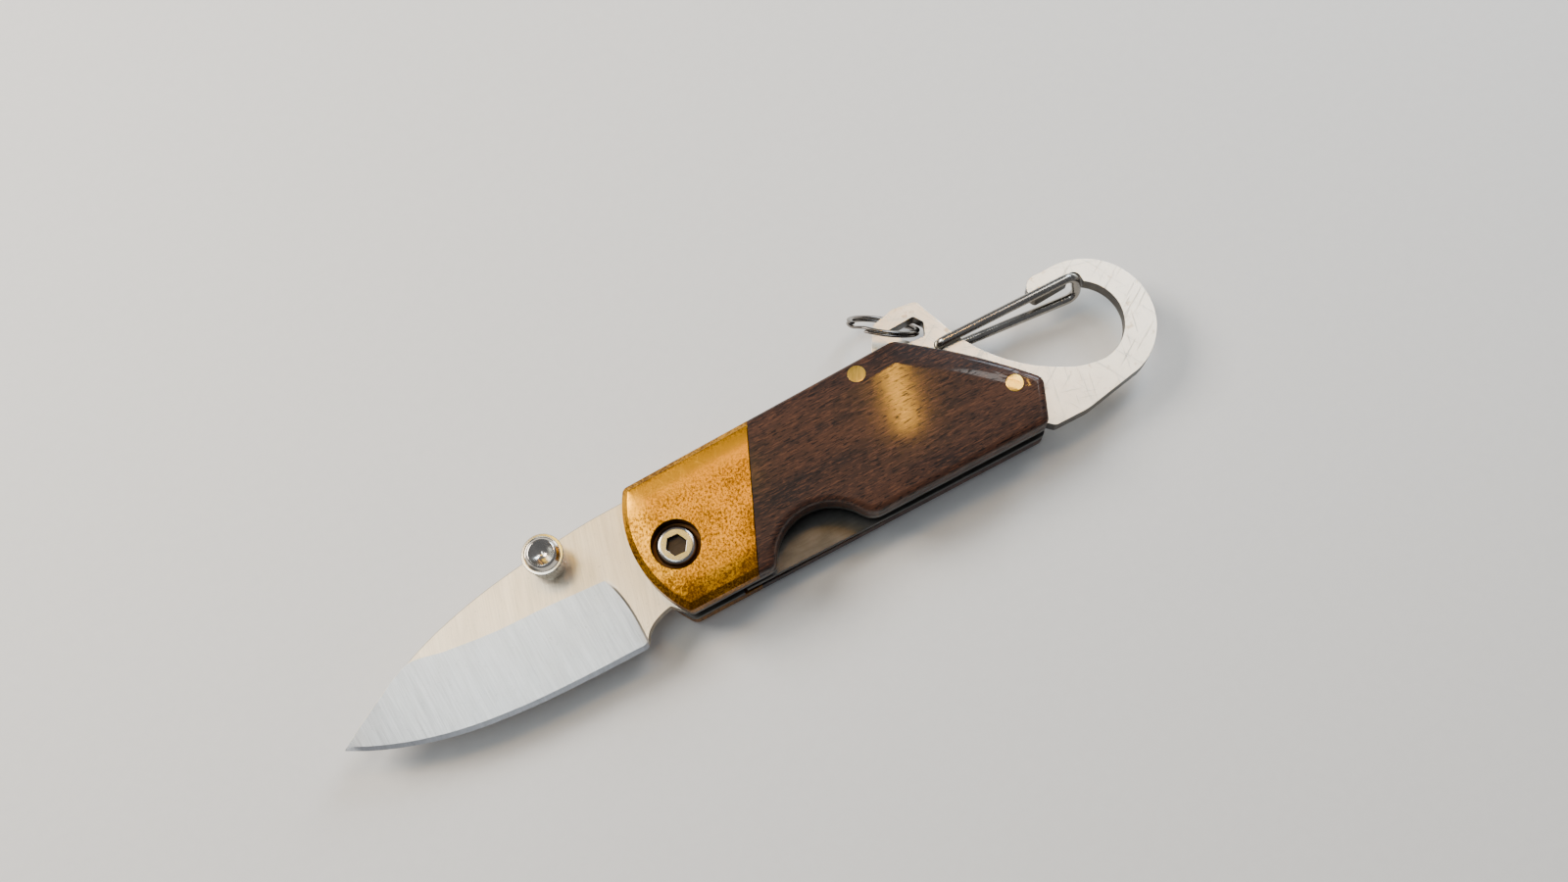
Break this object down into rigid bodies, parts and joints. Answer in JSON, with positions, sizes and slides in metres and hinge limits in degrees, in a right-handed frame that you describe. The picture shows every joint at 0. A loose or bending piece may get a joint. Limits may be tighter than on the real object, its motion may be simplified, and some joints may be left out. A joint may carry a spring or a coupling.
{
  "type": "folding pocket knife",
  "caption": "Small folding pocket knife lying open, with a thumb stud, liner lock, metal bolster, wood handle and a snap-hook tail plate with wire gate and split ring.",
  "frame": {"origin": "centre of the underside of the open knife's bounding box, in the plane that its rear side rests on", "axes": "+X along the handle from blade tip to hook, +Y towards the handle's spine, +Z out of the front side that carries the thumb stud"},
  "size_m": [0.1204, 0.0282, 0.0122],
  "materials": {
    "blade_steel": "satin ground steel",
    "stud_steel": "polished turned steel",
    "screw_steel": "polished steel",
    "brass": "worn brushed brass with a light patina",
    "rivet_brass": "bright sanded brass",
    "dark_wood": "dark fine-grained hardwood, satin lacquer",
    "liner_steel": "plain rolled steel",
    "washer_bronze": "thin bronze",
    "plate_steel": "tumbled stainless sheet with fine scratches",
    "wire_steel": "drawn steel wire",
    "ring_steel": "hardened steel wire"
  },
  "bodies": {
    "handle": {"bolster_dowels": "screw_steel", "front_bolster": "brass", "front_liner": "liner_steel", "front_scale": "dark_wood", "front_washer": "washer_bronze", "hook_plate": "plate_steel", "lock_leaf": "liner_steel", "pivot_barrel": "screw_steel", "pivot_screw": "screw_steel", "rear_bolster": "brass", "rear_liner": "liner_steel", "rear_scale": "dark_wood", "rear_washer": "washer_bronze", "spine_pin": "rivet_brass", "stop_pin": "screw_steel", "tail_pin": "rivet_brass"},
    "blade_unit": {"blade": "blade_steel", "thumb_stud": "stud_steel", "stud_screw": "screw_steel"},
    "gate": {"wire_gate": "wire_steel"},
    "ring": {"key_ring": "ring_steel"}
  },
  "joints": [
    {"name": "blade_fold", "type": "hinge", "parent": "handle", "child": "blade_unit", "pos_m": [-0.01125, -0.00487, 0.0052], "axis": [0, 0, 1], "range_deg": [0, 171], "deforming": ["lock_leaf"]},
    {"name": "gate_swing", "type": "hinge", "parent": "handle", "child": "gate", "pos_m": [0.0322, 0.00383, 0.0052], "axis": [0, 0, 1], "range_deg": [-28, 0], "stiffness_Nm_per_rad": 0.05, "springref_deg": 5.73},
    {"name": "ring_turn", "type": "hinge", "parent": "handle", "child": "ring", "pos_m": [0.0271, 0.01018, 0.0052], "axis": [-0.5256, -0.6655, -0.5299], "continuous": true}
  ]
}
